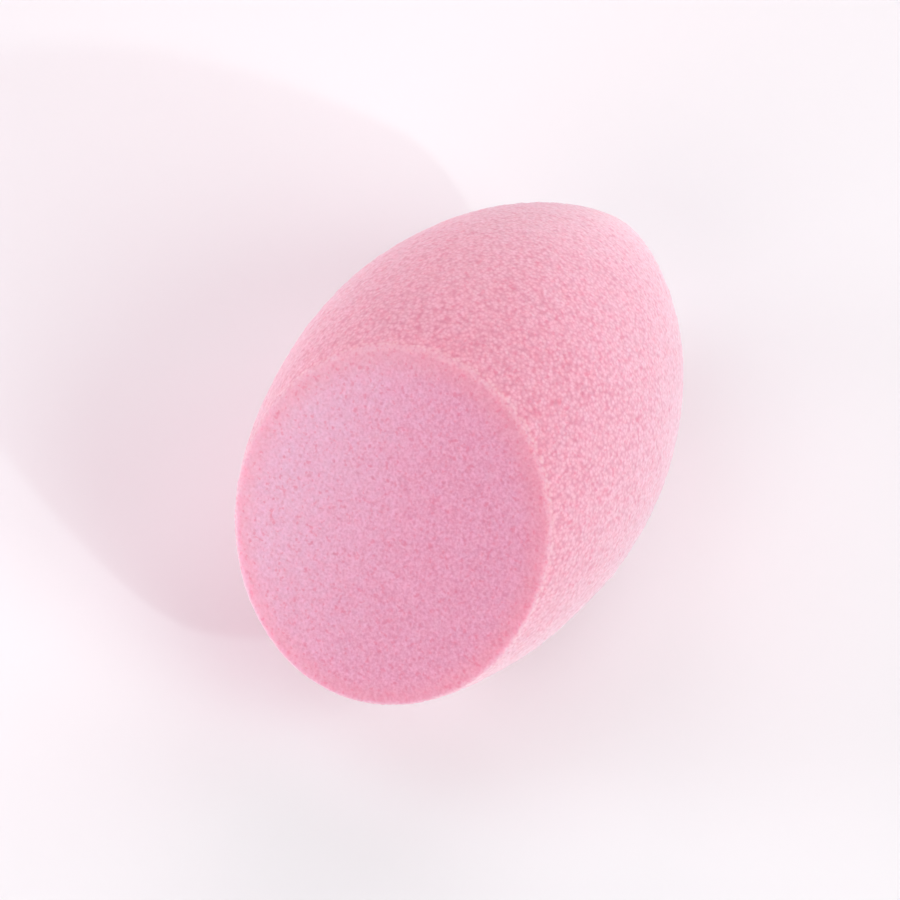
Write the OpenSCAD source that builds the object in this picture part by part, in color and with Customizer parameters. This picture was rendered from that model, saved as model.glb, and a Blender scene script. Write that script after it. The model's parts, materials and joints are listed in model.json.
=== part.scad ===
// Makeup sponge: one piece of open-cell foam, ground to shape. A round body tapers to a small
// rounded tip, and one slanted cut takes off its broad end. It lies on its side on a flat surface,
// at the tilt where its weight balances, with its lowest stretch settled flat against that surface.
// The origin is the point that it lies on. +X runs towards the tip and +Z is up.

/* [Round body] */
// Diameter at the widest section
body_d = 41; // [32:0.5:56]
// Length of the nose, from the widest section to the tip
nose_len = 34; // [28:0.5:48]
// Radius of the rounded tip
nose_r = 4; // [1:0.25:8]
// Radius of the long side curve behind the widest section
tail_arc_r = 48; // [40:1:80]

/* [Slanted cut] */
// Distance from the widest section back to where the cut crosses the long axis
cut_back = 19.5; // [16:0.5:24]
// Slant of the cut away from square, in degrees
cut_slant = 34; // [5:1:42]

/* [Rest] */
// Depth by which the soft foam settles where it lies on a hard surface
settle = 0.5; // [0.2:0.1:1.5]

/* [Fineness] */
// Degrees of side curve between two points of the outline
curve_step = 3; // [1:1:6]
// Number of slices in the sum that finds where the weight lies
slices = 240; // [60:20:600]

/* [Hidden] */
$fn = 96;

body_r = body_d / 2;

// The nose's side curve is level at the widest section and runs into the tip without a corner
tip_z = nose_len - nose_r;
nose_arc_r = (pow(tip_z, 2) + pow(body_r, 2) - pow(nose_r, 2)) / (2 * (body_r - nose_r));
nose_turn = asin(tip_z / (nose_arc_r - nose_r));

// The tail's side curve would close on the long axis at this turn and length if it weren't cut
tail_turn = acos(1 - body_r / tail_arc_r);
tail_len = tail_arc_r * sin(tail_turn);

// Points of an arc between its two ends, which are listed by themselves
function arc_inside(centre, r, from, to) =
    let (steps = ceil((to - from) / curve_step))
    [for (i = [1 : steps - 1])
        let (turn = from + (to - from) * i / steps) centre + r * [cos(turn), sin(turn)]];

outline = [
    [0, -tail_len],
    each arc_inside([body_r - tail_arc_r, 0], tail_arc_r, -tail_turn, 0),
    [body_r, 0],
    each arc_inside([body_r - nose_arc_r, 0], nose_arc_r, 0, nose_turn),
    [nose_r * cos(nose_turn), tip_z + nose_r * sin(nose_turn)],
    each arc_inside([0, tip_z], nose_r, nose_turn, 90),
    [0, nose_len]
];

// Radius of the uncut body at a distance z in front of the widest section
function on_side(r, z) = sqrt(pow(r, 2) - pow(z, 2)) - r + body_r;
function on_tip(z) = sqrt(pow(nose_r, 2) - pow(z - tip_z, 2));
function radius_at(z) =
    z < 0 ? on_side(tail_arc_r, z) :
    z < nose_arc_r * sin(nose_turn) ? on_side(nose_arc_r, z) : on_tip(z);

// The cut leaves a slice whole, or as a disc less its upper part. half_angle spans the part kept.
function half_angle(z) =
    let (height = (z + cut_back) / tan(cut_slant)) acos(-min(1, max(-1, height / radius_at(z))));
function kept_area(z) =
    let (a = half_angle(z)) pow(radius_at(z), 2) * (a * PI / 180 - sin(a) * cos(a));
function kept_moment(z) = -2 / 3 * pow(radius_at(z) * sin(half_angle(z)), 3);
function total(list) = list * [for (item = list) 1];

slice_z = [for (i = [0.5 : slices]) (tail_len + nose_len) * i / slices - tail_len];
areas = [for (z = slice_z) kept_area(z)];
weight_z = areas * slice_z / total(areas);
weight_up = total([for (z = slice_z) kept_moment(z)]) / total(areas);

// It lies still when its weight is plumb below the centre of the side curve that it rests on
rest_arc_r = weight_z > 0 ? nose_arc_r : tail_arc_r;
centre_off = rest_arc_r - body_r;
rest_tilt = atan(weight_z / (centre_off - weight_up));
axis_x = -centre_off * sin(rest_tilt);
axis_z = rest_arc_r - centre_off * cos(rest_tilt) - settle;

// Side of the blocks that cut the body, larger than the body is long
block = 2 * (tail_len + nose_len);

module block_below() {
    translate([-block / 2, -block / 2, -block])
        cube(block);
}

// The body stands on its broad end here, with its widest section at the origin
module ground_body() {
    difference() {
        rotate_extrude()
            polygon(outline);
        translate([0, 0, -cut_back])
            rotate([0, cut_slant, 0])
                block_below();
    }
}

module foam_sponge() {
    color("#f3b1c8")
        difference() {
            translate([axis_x, 0, axis_z])
                rotate([0, 90 + rest_tilt, 0])
                    ground_body();
            block_below();
        }
}

foam_sponge();
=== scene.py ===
"""Looks of the makeup sponge: ground open-cell foam with one slanted cut, on a pale floor."""

import itertools
import json
import math

import bpy
import numpy as np
from mathutils import Matrix, Vector


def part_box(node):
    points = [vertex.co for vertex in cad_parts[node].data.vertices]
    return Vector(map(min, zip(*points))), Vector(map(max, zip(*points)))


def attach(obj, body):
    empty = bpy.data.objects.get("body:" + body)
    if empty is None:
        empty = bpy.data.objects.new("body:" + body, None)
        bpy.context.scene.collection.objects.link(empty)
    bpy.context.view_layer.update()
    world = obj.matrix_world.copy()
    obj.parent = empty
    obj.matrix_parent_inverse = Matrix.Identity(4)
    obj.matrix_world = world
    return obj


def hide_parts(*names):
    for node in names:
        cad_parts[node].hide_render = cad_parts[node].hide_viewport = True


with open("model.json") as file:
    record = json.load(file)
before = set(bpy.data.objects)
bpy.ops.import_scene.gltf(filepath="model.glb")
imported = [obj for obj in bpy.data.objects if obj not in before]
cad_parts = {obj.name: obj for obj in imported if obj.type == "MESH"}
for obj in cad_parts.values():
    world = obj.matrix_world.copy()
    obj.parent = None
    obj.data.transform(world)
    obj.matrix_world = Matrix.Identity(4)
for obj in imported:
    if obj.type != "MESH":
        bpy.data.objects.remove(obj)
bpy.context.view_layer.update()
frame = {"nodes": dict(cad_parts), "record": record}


def linear(red, green, blue):
    """A colour on the 0 to 255 scale of a photograph, as the linear colour a shader takes."""
    def channel(value):
        # The sRGB curve, which is straight near black
        share = value / 255
        return share / 12.92 if share <= 0.04045 else ((share + 0.055) / 1.055) ** 2.4
    return (channel(red), channel(green), channel(blue), 1.0)


MM = 0.001
NODE = "foam_sponge"
BODY = "root"

# Sizes of the body that the frame doesn't give, as the CAD model has them
NOSE_LEN = 34.0 * MM
NOSE_R = 4.0 * MM
TAIL_ARC_R = 48.0 * MM
CUT_BACK = 19.5 * MM
CUT_SLANT = math.radians(34.0)

# Rounding of the cut's rim, and of the edge of the patch that the sponge lies on
RIM_R = 0.3 * MM
FOOT_R = 0.1 * MM

# The mesh's cell, and how often its points are evened out
MESH_CELL = 0.21 * MM
RELAX_PASSES = 4

# Relief of the foam, each kind with its width and its height or depth
GRAIN = 0.45 * MM
GRAIN_HEIGHT = 0.022 * MM
CLUMP = 1.3 * MM
CLUMP_HEIGHT = 0.015 * MM
DRIFT = 9.0 * MM
DRIFT_HEIGHT = 0.04 * MM
BODY_PORE = 0.45 * MM
CUT_PORE = 0.42 * MM
PORE_DEPTH = 0.04 * MM
# Levels of the noise at which a pore starts and is full
PORE_LEVELS = (0.7, 2.4)
# How far the pores keep off the clumps, on the body and on the cut
BODY_CLUMP_SHARE = 0.5
CUT_CLUMP_SHARE = 0.3
# How much calmer the cut is than the body
CUT_CALM_SHARE = 0.5
# The relief grows from nothing at the floor to its full height this far above it
FOOT_BAND = 2.0 * MM
# Seed of the noise, and how many cells it runs along each side before it repeats
SEED = 41
TABLE = 64

# Where the body's foam turns into the cut's, measured from the cut's plane, negative inside
CUT_TURN = (-1.2 * RIM_R, -0.1 * RIM_R)
# The painted highlight along the rim, a paler line where the rim catches the light: its reach, its
# full part, and how far outside the rim it lies
RIM_LINE = 0.5 * MM
RIM_CORE = 0.3 * RIM_LINE
RIM_SHIFT = 0.25 * MM
# The redder band inside the rim, a painted glow of light that shines through the thin rim, and the
# stretch of the flat along Y that turns paler, which is painted light
GLOW_BAND = 3.0 * MM
PAINTED_LIGHT_SIDE = (-6.0 * MM, 18.0 * MM)

# Patterns of the foam's colour, each with its width and the stretch of its values that is used
BODY_FINE = 0.42 * MM
CUT_FINE = 0.3 * MM
FINE_DETAIL = 2.0
FINE_RANGE = (0.26, 0.735)
FINE_HEIGHT = 0.05 * MM
FINE_STRENGTH = 0.8
PEBBLE = 0.39 * MM
PEBBLE_RANGE = (0.94, 0.06)
PEBBLE_SHARE = 0.5
SPECK = 0.5 * MM
SPECK_RANGE = (0.6, 0.72)
MOTTLE = 1.0 * MM
MOTTLE_DETAIL = 2.0
MOTTLE_RANGE = (0.3, 0.7)
PINHOLE = 0.9 * MM
PINHOLE_RANGE = (0.3, 0.16)
PINHOLE_PICK = (0.45, 0.8)

# Grains and gaps of the body, of the cut, and of the cut's paler side, with the gaps darker as
# painted shade
BODY_GRAIN = linear(239, 181, 201)
BODY_GAP_SHADE = linear(217, 138, 162)
# The cut's cooler, more mauve tone is painted light of a cool fill
CUT_GRAIN = linear(240, 182, 211)
CUT_GAP_SHADE = linear(218, 142, 174)
# Painted light: the cut turns paler towards +Y
PAINTED_LIGHT_GRAIN = linear(241, 201, 225)
PAINTED_LIGHT_GAP = linear(223, 175, 200)

# Colours laid over these, and how strongly; all but the random mottle are painted shade, glow or
# highlight
# Painted glow of light shining through the thin rim, as a redder band inside it
GLOW_TINT = linear(228, 160, 169)
GLOW_SHARE = 0.4
MOTTLE_TINT = linear(228, 116, 144)
MOTTLE_SHARE = 0.12
# Painted shade in pores and dark specks
PORE_SHADE = linear(222, 106, 137)
PORE_SHARE = 0.3
SPECK_SHARE = 0.4
# Painted shade in pinholes
PINHOLE_SHADE = linear(204, 90, 122)
PINHOLE_SHARE = 0.3
# Painted highlight along the rim
RIM_HIGHLIGHT_TINT = linear(234, 198, 203)
RIM_HIGHLIGHT_SHARE = 0.5

# Soft, matt foam that scatters light inside, with a faint sheen
FOAM_FINISH = {
    "Roughness": 0.9,
    "Specular IOR Level": 0.2,
    "Subsurface Weight": 1.0,
    "Subsurface Radius": (1.0, 0.45, 0.55),
    "Subsurface Scale": 4.0 * MM,
    "Sheen Weight": 0.6,
    "Sheen Roughness": 0.6,
    "Sheen Tint": (1.0, 0.95, 0.97, 1.0),
}

# The floor, in metres: half its side, and where it starts and ends to fade into the backdrop
FLOOR_HALF = 2.0
FLOOR_FADE = (0.12, 0.4)
FLOOR_FINISH = {
    "Base Color": linear(243, 242, 245),
    "Roughness": 0.8,
    "Specular IOR Level": 0.1,
}

# Even light all round, and the backdrop that shows where the floor ends
WORLD_TINT = (1.0, 0.67, 0.7, 1.0)
WORLD_STRENGTH = 0.3
BACKDROP_TINT = (0.93, 0.91, 0.93, 1.0)

# Each lamp's azimuth and elevation in degrees, its distance and width in metres, the width of its
# beam in degrees, its strength and its tint. Only the small key throws a shadow with an edge.
LAMPS = {
    "key": (-12.6, 27.8, 0.886, 0.03, 180, 0.42, (0.72, 1.0, 0.95)),
    "left": (-90, 35, 0.8, 0.5, 180, 0.59, (1.0, 0.9, 0.91)),
    "front": (0, 35, 0.8, 0.5, 180, 1.12, (0.87, 1.0, 0.95)),
    "right": (45, 12, 0.8, 0.3, 180, 0.6, (0.55, 1.0, 0.91)),
    "back": (90, 35, 0.8, 0.5, 180, 0.6, (0.97, 0.97, 1.0)),
    "top": (180, 62, 0.8, 0.5, 180, 0.33, (0.85, 0.94, 1.0)),
    "left_card": (-150, 14, 0.2, 0.08, 110, 0.34, (0.92, 0.98, 1.0)),
    "back_card": (120, 25, 0.2, 0.08, 110, 0.165, (1.0, 0.64, 0.73)),
}
# Power in watts that a lamp of strength 1 has at a distance of 1 m
LAMP_POWER = 4

# The photograph's camera, with the lens and the sensor in millimetres, and the pixel at which
# the photograph shows the middle of the sponge's widest section
FRAME_PX = 900
SENSOR = 36.0
LENS = 172.2
DISTANCE = 450.0 * MM
VIEW_AZIMUTH = math.radians(-61.09)
VIEW_ELEVATION = math.radians(59.69)
VIEW_ROLL = math.radians(1.02)
WIDEST_CENTRE_PX = (466.1, 441.7)

mounts = {mount["name"]: mount for mount in frame["record"]["mounts"]}
node_low, node_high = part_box(NODE)
body_r = (node_high[1] - node_low[1]) / 2

# The long axis, and the middle of the widest section, from where the CAD model has its cut
cut_normal = np.array(mounts["cut_face"]["axis"])
cut_point = np.array(mounts["cut_face"]["pos_m"])
tilt = math.pi - CUT_SLANT - math.atan2(cut_normal[2], cut_normal[0])
axis = np.array([math.cos(tilt), 0.0, -math.sin(tilt)])
widest = cut_point + CUT_BACK * axis

# The nose's side curve is level at the widest section and runs into the tip without a corner
tip_z = NOSE_LEN - NOSE_R
nose_arc_r = (tip_z**2 + body_r**2 - NOSE_R**2) / (2 * (body_r - NOSE_R))
nose_turn = math.asin(tip_z / (nose_arc_r - NOSE_R))


def body_gap(points):
    """Distance of points outside the uncut round body, negative inside."""
    reach = points - widest
    along = reach @ axis
    out = np.linalg.norm(reach - along[:, None] * axis, axis=1)
    nose = np.hypot(out + nose_arc_r - body_r, along) - nose_arc_r
    tail = np.hypot(out + TAIL_ARC_R - body_r, along) - TAIL_ARC_R
    tip = np.hypot(out, along - tip_z) - NOSE_R
    on_tip = np.arctan2(along, out + nose_arc_r - body_r) > nose_turn
    return np.where(along < 0, tail, np.where(on_tip, tip, nose))


def cut_gap(points):
    """Distance of points outside the slanted cut, negative on the side that is kept."""
    return (points - cut_point) @ cut_normal


def eased(first, second, radius):
    """Distance outside what two solids share, with the edge between them rounded."""
    inside = np.minimum(np.maximum(first, second), -radius)
    return inside + np.hypot(np.maximum(first + radius, 0), np.maximum(second + radius, 0))


def foam_gap(points):
    """Distance of points outside the finished sponge, before its relief."""
    cut = eased(body_gap(points), cut_gap(points), RIM_R)
    return eased(cut, -points[:, 2], FOOT_R)


def outward(points, step=0.01 * MM):
    """Unit directions in which the distance outside the sponge grows."""
    slope = np.stack([
        foam_gap(points + side) - foam_gap(points - side) for side in np.eye(3) * step
    ], axis=1)
    return slope / np.linalg.norm(slope, axis=1, keepdims=True)


def on_surface(points, passes=3):
    """Points moved straight onto the sponge's surface."""
    for _ in range(passes):
        points = points - foam_gap(points)[:, None] * outward(points)
    return points


def new_object(name, data):
    """An object that shows the data given, put into the scene."""
    thing = bpy.data.objects.new(name, data)
    bpy.context.scene.collection.objects.link(thing)
    return thing


def even_mesh(node, cell):
    """A CAD node's mesh rebuilt in even quads."""
    work = new_object("work", frame["nodes"][node].data.copy())
    remesh = work.modifiers.new("even_quads", "REMESH")
    remesh.mode = "VOXEL"
    remesh.voxel_size = cell
    depsgraph = bpy.context.evaluated_depsgraph_get()
    mesh = bpy.data.meshes.new_from_object(work.evaluated_get(depsgraph))
    bpy.data.objects.remove(work)
    return mesh


def read_points(mesh):
    """The places of a mesh's points, one row for each."""
    places = np.empty(len(mesh.vertices) * 3)
    mesh.vertices.foreach_get("co", places)
    return places.reshape(-1, 3)


def read_edges(mesh):
    """The two points that each edge of a mesh joins, one row for each edge."""
    ends = np.empty(len(mesh.edges) * 2, dtype=np.int32)
    mesh.edges.foreach_get("vertices", ends)
    return ends.reshape(-1, 2)


def relaxed(points, edges, passes):
    """Points spread evenly along the surface by averaging each with its neighbours."""
    count = np.bincount(edges.ravel(), minlength=len(points))[:, None]
    for _ in range(passes):
        near = np.zeros_like(points)
        for side in range(3):
            near[:, side] += np.bincount(edges[:, 0], points[edges[:, 1], side], len(points))
            near[:, side] += np.bincount(edges[:, 1], points[edges[:, 0], side], len(points))
        points = on_surface((points + near / count) / 2, passes=1)
    return points


def smooth_step(start, end, value):
    """A share that runs softly from 0 where a value is at its start to 1 at its end."""
    share = np.clip((value - start) / (end - start), 0, 1)
    return share * share * (3 - 2 * share)


def grain_noise(points, size, table):
    """Smooth noise of unit spread, with hills and dips of about the size given."""
    base = np.floor(points / size).astype(int)
    local = points / size - base
    # An ease of the fifth power, with no kink where two cells meet
    blend = local * local * local * (local * (6 * local - 15) + 10)
    value = np.zeros(len(points))
    for corner in itertools.product((0, 1), repeat=3):
        cell = (base + corner) % TABLE
        slope = table[cell[:, 0], cell[:, 1], cell[:, 2]]
        share = np.prod(np.where(corner, blend, 1 - blend), axis=1)
        value += share * np.einsum("ij,ij->i", slope, local - corner)
    return value / value.std()


def foam_surface(points):
    """Height of the foam's relief at each point, and the values there that the material reads."""
    table = np.random.default_rng(SEED).uniform(-1, 1, (TABLE, TABLE, TABLE, 3))
    grain = grain_noise(points, GRAIN, table)
    clump = grain_noise(points, CLUMP, table)
    body_level = grain_noise(points, BODY_PORE, table) - BODY_CLUMP_SHARE * clump
    cut_level = grain_noise(points, CUT_PORE, table) - CUT_CLUMP_SHARE * clump
    body_pore = smooth_step(*PORE_LEVELS, body_level)
    cut_pore = smooth_step(*PORE_LEVELS, cut_level)

    from_cut = cut_gap(points)
    from_body = body_gap(points)
    on_cut = smooth_step(*CUT_TURN, from_cut)
    pore = body_pore * (1 - on_cut) + cut_pore * on_cut * CUT_CALM_SHARE
    rough = GRAIN_HEIGHT * grain + CLUMP_HEIGHT * clump - PORE_DEPTH * pore
    drift = DRIFT_HEIGHT * grain_noise(points, DRIFT, table)
    height = rough * (1 - CUT_CALM_SHARE * on_cut) + drift
    held = smooth_step(0, FOOT_BAND, points[:, 2])
    return height * held, {
        # The pore value is also painted as shade in the pits
        "pore": pore,
        "cut_face": on_cut,
        # Where the painted highlight along the rim lies
        "rim": smooth_step(RIM_LINE, RIM_CORE, np.hypot(from_cut + RIM_SHIFT, from_body)),
        # Where the painted glow inside the rim lies
        "edge": on_cut * smooth_step(-GLOW_BAND, 0, from_body),
        # Where the painted light makes the cut paler towards +Y
        "pale": on_cut * smooth_step(*PAINTED_LIGHT_SIDE, points[:, 1]),
    }


def make_sponge():
    """The sponge: its smooth form first, then the relief of the foam."""
    mesh = even_mesh(NODE, MESH_CELL)
    points = relaxed(on_surface(read_points(mesh)), read_edges(mesh), RELAX_PASSES)
    points = on_surface(points)
    height, values = foam_surface(points)
    points = points + outward(points) * height[:, None]
    points[:, 2] = np.maximum(points[:, 2], 0)

    mesh.vertices.foreach_set("co", points.ravel())
    mesh.update()
    mesh.shade_smooth()
    for name, value in values.items():
        attribute = mesh.attributes.new(name, "FLOAT", "POINT")
        attribute.data.foreach_set("value", value.astype(np.float32))
    mesh.materials.clear()
    mesh.materials.append(foam_material())
    return new_object("sponge", mesh)


def new_material(name, finish):
    """A material, its nodes and its shader, which has the finish given."""
    material = bpy.data.materials.new(name)
    material.use_nodes = True
    tree = material.node_tree
    shader = tree.nodes["Principled BSDF"]
    for socket, value in finish.items():
        shader.inputs[socket].default_value = value
    return material, tree, shader


def add_node(tree, kind, **settings):
    """A new node with the settings given."""
    node = tree.nodes.new(kind)
    for name, value in settings.items():
        setattr(node, name, value)
    return node


def feed(tree, socket, value):
    """Gives a socket its own value, or links it to the output of another node."""
    if isinstance(value, bpy.types.NodeSocket):
        tree.links.new(value, socket)
    else:
        socket.default_value = value


# Places of a Mix node's share, first input, second input and output, for each kind of value
MIX_PLACES = {"RGBA": (0, 6, 7, 2), "FLOAT": (0, 2, 3, 0)}


def mix_of(tree, kind, share, first, second):
    """What lies between two values of one kind."""
    node = add_node(tree, "ShaderNodeMix", data_type=kind)
    share_at, first_at, second_at, result_at = MIX_PLACES[kind]
    feed(tree, node.inputs[share_at], share)
    feed(tree, node.inputs[first_at], first)
    feed(tree, node.inputs[second_at], second)
    return node.outputs[result_at]


def mixed(tree, share, first, second):
    """A colour between two others."""
    return mix_of(tree, "RGBA", share, first, second)


def between(tree, share, first, second):
    """A number between two others."""
    return mix_of(tree, "FLOAT", share, first, second)


def spread(tree, value, start, end):
    """A share that runs from 0 where a value is at its start to 1 at its end."""
    node = add_node(tree, "ShaderNodeMapRange")
    tree.links.new(value, node.inputs["Value"])
    node.inputs["From Min"].default_value = start
    node.inputs["From Max"].default_value = end
    return node.outputs["Result"]


def scaled(tree, value, factor):
    """A value times a number or times another value."""
    node = add_node(tree, "ShaderNodeMath", operation="MULTIPLY")
    feed(tree, node.inputs[0], value)
    feed(tree, node.inputs[1], factor)
    return node.outputs["Value"]


def vertex_value(tree, name):
    """A value that the mesh carries at its points."""
    return add_node(tree, "ShaderNodeAttribute", attribute_name=name).outputs["Fac"]


def pattern(tree, kind, size):
    """A texture fixed to the foam, with grains or cells of about the size given."""
    node = add_node(tree, kind)
    coords = add_node(tree, "ShaderNodeTexCoord")
    tree.links.new(coords.outputs["Object"], node.inputs["Vector"])
    node.inputs["Scale"].default_value = 1 / size
    return node


def noise(tree, size, detail=1.0):
    """Soft random spots."""
    node = pattern(tree, "ShaderNodeTexNoise", size)
    node.inputs["Detail"].default_value = detail
    return node.outputs["Fac"]


def pebbles(tree, size):
    """Rounded grains of foam, pale in the middle and dark where they meet, the dark being painted
    shade between the grains.
    """
    cells = pattern(tree, "ShaderNodeTexVoronoi", size)
    return spread(tree, cells.outputs["Distance"], *PEBBLE_RANGE)


def pinholes(tree, size):
    """Small round dots of painted shade in small holes, one in some of the cells and fainter in
    others.
    """
    cells = pattern(tree, "ShaderNodeTexVoronoi", size)
    dot = spread(tree, cells.outputs["Distance"], *PINHOLE_RANGE)
    return scaled(tree, dot, spread(tree, cells.outputs["Color"], *PINHOLE_PICK))


def foam_material():
    """Soft foam: pale grains over deeper pink gaps painted as shade, a slightly cooler cut painted
    as cool light, and a paler rim painted as a highlight.
    """
    material, tree, shader = new_material("pink_foam", FOAM_FINISH)
    on_cut = vertex_value(tree, "cut_face")
    body_noise = noise(tree, BODY_FINE, FINE_DETAIL)
    body_fine = between(tree, PEBBLE_SHARE, body_noise, pebbles(tree, PEBBLE))
    cut_fine = noise(tree, CUT_FINE, FINE_DETAIL)
    fine = spread(tree, between(tree, on_cut, body_fine, cut_fine), *FINE_RANGE)

    # Painted light: the cut turns paler towards +Y
    pale = vertex_value(tree, "pale")
    cut_gap_shades = mixed(tree, pale, CUT_GAP_SHADE, PAINTED_LIGHT_GAP)
    cut_grains = mixed(tree, pale, CUT_GRAIN, PAINTED_LIGHT_GRAIN)
    # The gaps between the cut's grains are painted darker as shade
    cut = mixed(tree, fine, cut_gap_shades, cut_grains)
    # Painted glow of light through the thin rim: a redder band inside it
    cut = mixed(tree, scaled(tree, vertex_value(tree, "edge"), GLOW_SHARE), cut, GLOW_TINT)
    # The gaps between the body's grains are painted darker as shade
    body = mixed(tree, fine, BODY_GAP_SHADE, BODY_GRAIN)
    # The cut's cooler tone, painted light of a cool fill, comes in here
    colour = mixed(tree, on_cut, body, cut)

    mottle = spread(tree, noise(tree, MOTTLE, MOTTLE_DETAIL), *MOTTLE_RANGE)
    speck = spread(tree, noise(tree, SPECK), *SPECK_RANGE)
    # Painted highlight along the rim, broken up by the fine grain
    rim_highlight = scaled(tree, vertex_value(tree, "rim"), fine)
    overlays = (
        (mottle, MOTTLE_SHARE, MOTTLE_TINT),
        # Dark specks, pores and pinholes are painted shade in the foam's holes
        (speck, SPECK_SHARE, PORE_SHADE),
        (vertex_value(tree, "pore"), PORE_SHARE, PORE_SHADE),
        (pinholes(tree, PINHOLE), PINHOLE_SHARE, PINHOLE_SHADE),
        (rim_highlight, RIM_HIGHLIGHT_SHARE, RIM_HIGHLIGHT_TINT),
    )
    for place, strength, tint in overlays:
        colour = mixed(tree, scaled(tree, place, strength), colour, tint)
    tree.links.new(colour, shader.inputs["Base Color"])

    bump = add_node(tree, "ShaderNodeBump")
    bump.inputs["Strength"].default_value = FINE_STRENGTH
    bump.inputs["Distance"].default_value = FINE_HEIGHT
    tree.links.new(fine, bump.inputs["Height"])
    tree.links.new(bump.outputs["Normal"], shader.inputs["Normal"])
    return material


def seen_share(tree):
    """1 for rays that show a thing, straight or in gloss or glass, and 0 for rays that light it."""
    path = add_node(tree, "ShaderNodeLightPath")
    share = path.outputs["Is Camera Ray"]
    for name in ("Is Glossy Ray", "Is Transmission Ray"):
        node = add_node(tree, "ShaderNodeMath", operation="ADD", use_clamp=True)
        tree.links.new(share, node.inputs[0])
        tree.links.new(path.outputs[name], node.inputs[1])
        share = node.outputs["Value"]
    return share


def show_mix(tree, share, first, second, output):
    """Links a mix of two shaders to the surface of the output node named."""
    either = add_node(tree, "ShaderNodeMixShader")
    tree.links.new(share, either.inputs[0])
    tree.links.new(first.outputs[0], either.inputs[1])
    tree.links.new(second.outputs[0], either.inputs[2])
    tree.links.new(either.outputs[0], tree.nodes[output].inputs["Surface"])


def floor_material():
    """A pale floor that fades into the backdrop far from the sponge."""
    material, tree, shader = new_material("pale_floor", FLOOR_FINISH)
    coords = add_node(tree, "ShaderNodeTexCoord")
    reach = add_node(tree, "ShaderNodeVectorMath", operation="LENGTH")
    tree.links.new(coords.outputs["Object"], reach.inputs[0])
    far = spread(tree, reach.outputs["Value"], *FLOOR_FADE)
    backdrop = add_node(tree, "ShaderNodeEmission")
    backdrop.inputs["Color"].default_value = BACKDROP_TINT
    show_mix(tree, scaled(tree, far, seen_share(tree)), shader, backdrop, "Material Output")
    return material


def make_floor():
    """One square under the sponge, which isn't part of the object."""
    sides = ((-1, -1), (1, -1), (1, 1), (-1, 1))
    corners = [(across * FLOOR_HALF, along * FLOOR_HALF, 0) for across, along in sides]
    mesh = bpy.data.meshes.new("floor")
    mesh.from_pydata(corners, [], [(0, 1, 2, 3)])
    mesh.materials.append(floor_material())
    new_object("floor", mesh)


def direction(azimuth, elevation):
    """Unit direction from the sponge: azimuth 0 is on the -Y side and 90 degrees on the +X side."""
    level = math.cos(elevation)
    return Vector((math.sin(azimuth) * level, -math.cos(azimuth) * level, math.sin(elevation)))


def make_camera():
    """The camera shows the middle of the widest section at its pixel in the photograph."""
    back = direction(VIEW_AZIMUTH, VIEW_ELEVATION)
    level = Vector((0, 0, 1)).cross(back).normalized()
    rise = back.cross(level)
    right = math.cos(VIEW_ROLL) * level + math.sin(VIEW_ROLL) * rise
    up = back.cross(right)
    px_per_metre = LENS / SENSOR * FRAME_PX / DISTANCE
    aside = (WIDEST_CENTRE_PX[0] - FRAME_PX / 2) / px_per_metre
    above = (FRAME_PX / 2 - WIDEST_CENTRE_PX[1]) / px_per_metre
    place = Vector(widest) - aside * right - above * up + DISTANCE * back

    data = bpy.data.cameras.new("camera")
    data.lens = LENS
    data.sensor_width = SENSOR
    camera = new_object("camera", data)
    turn = Matrix((right, up, back)).transposed().to_4x4()
    camera.matrix_world = Matrix.Translation(place) @ turn
    bpy.context.scene.camera = camera


def make_lamp(name, azimuth, elevation, distance, width, beam, strength, colour):
    """A round lamp aimed at the sponge."""
    data = bpy.data.lights.new(name, "AREA")
    data.shape = "DISK"
    data.size = width
    data.spread = math.radians(beam)
    data.energy = LAMP_POWER * strength * distance**2
    data.color = colour
    away = direction(math.radians(azimuth), math.radians(elevation))
    lamp = new_object(name, data)
    lamp.location = Vector(widest) + away * distance
    lamp.rotation_euler = away.to_track_quat("Z", "Y").to_euler()
    lamp.visible_camera = False


def make_world():
    """Even light all round, and a pale backdrop where the camera looks past the floor."""
    world = bpy.data.worlds.new("studio")
    world.use_nodes = True
    tree = world.node_tree
    light = tree.nodes["Background"]
    light.inputs["Color"].default_value = WORLD_TINT
    light.inputs["Strength"].default_value = WORLD_STRENGTH
    backdrop = add_node(tree, "ShaderNodeBackground")
    backdrop.inputs["Color"].default_value = BACKDROP_TINT
    show_mix(tree, seen_share(tree), light, backdrop, "World Output")
    bpy.context.scene.world = world


make_camera()
sponge = make_sponge()
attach(sponge, BODY)
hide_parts(NODE)

make_floor()
make_world()
for name, settings in LAMPS.items():
    make_lamp(name, *settings)

bpy.context.scene.view_settings.view_transform = "Standard"
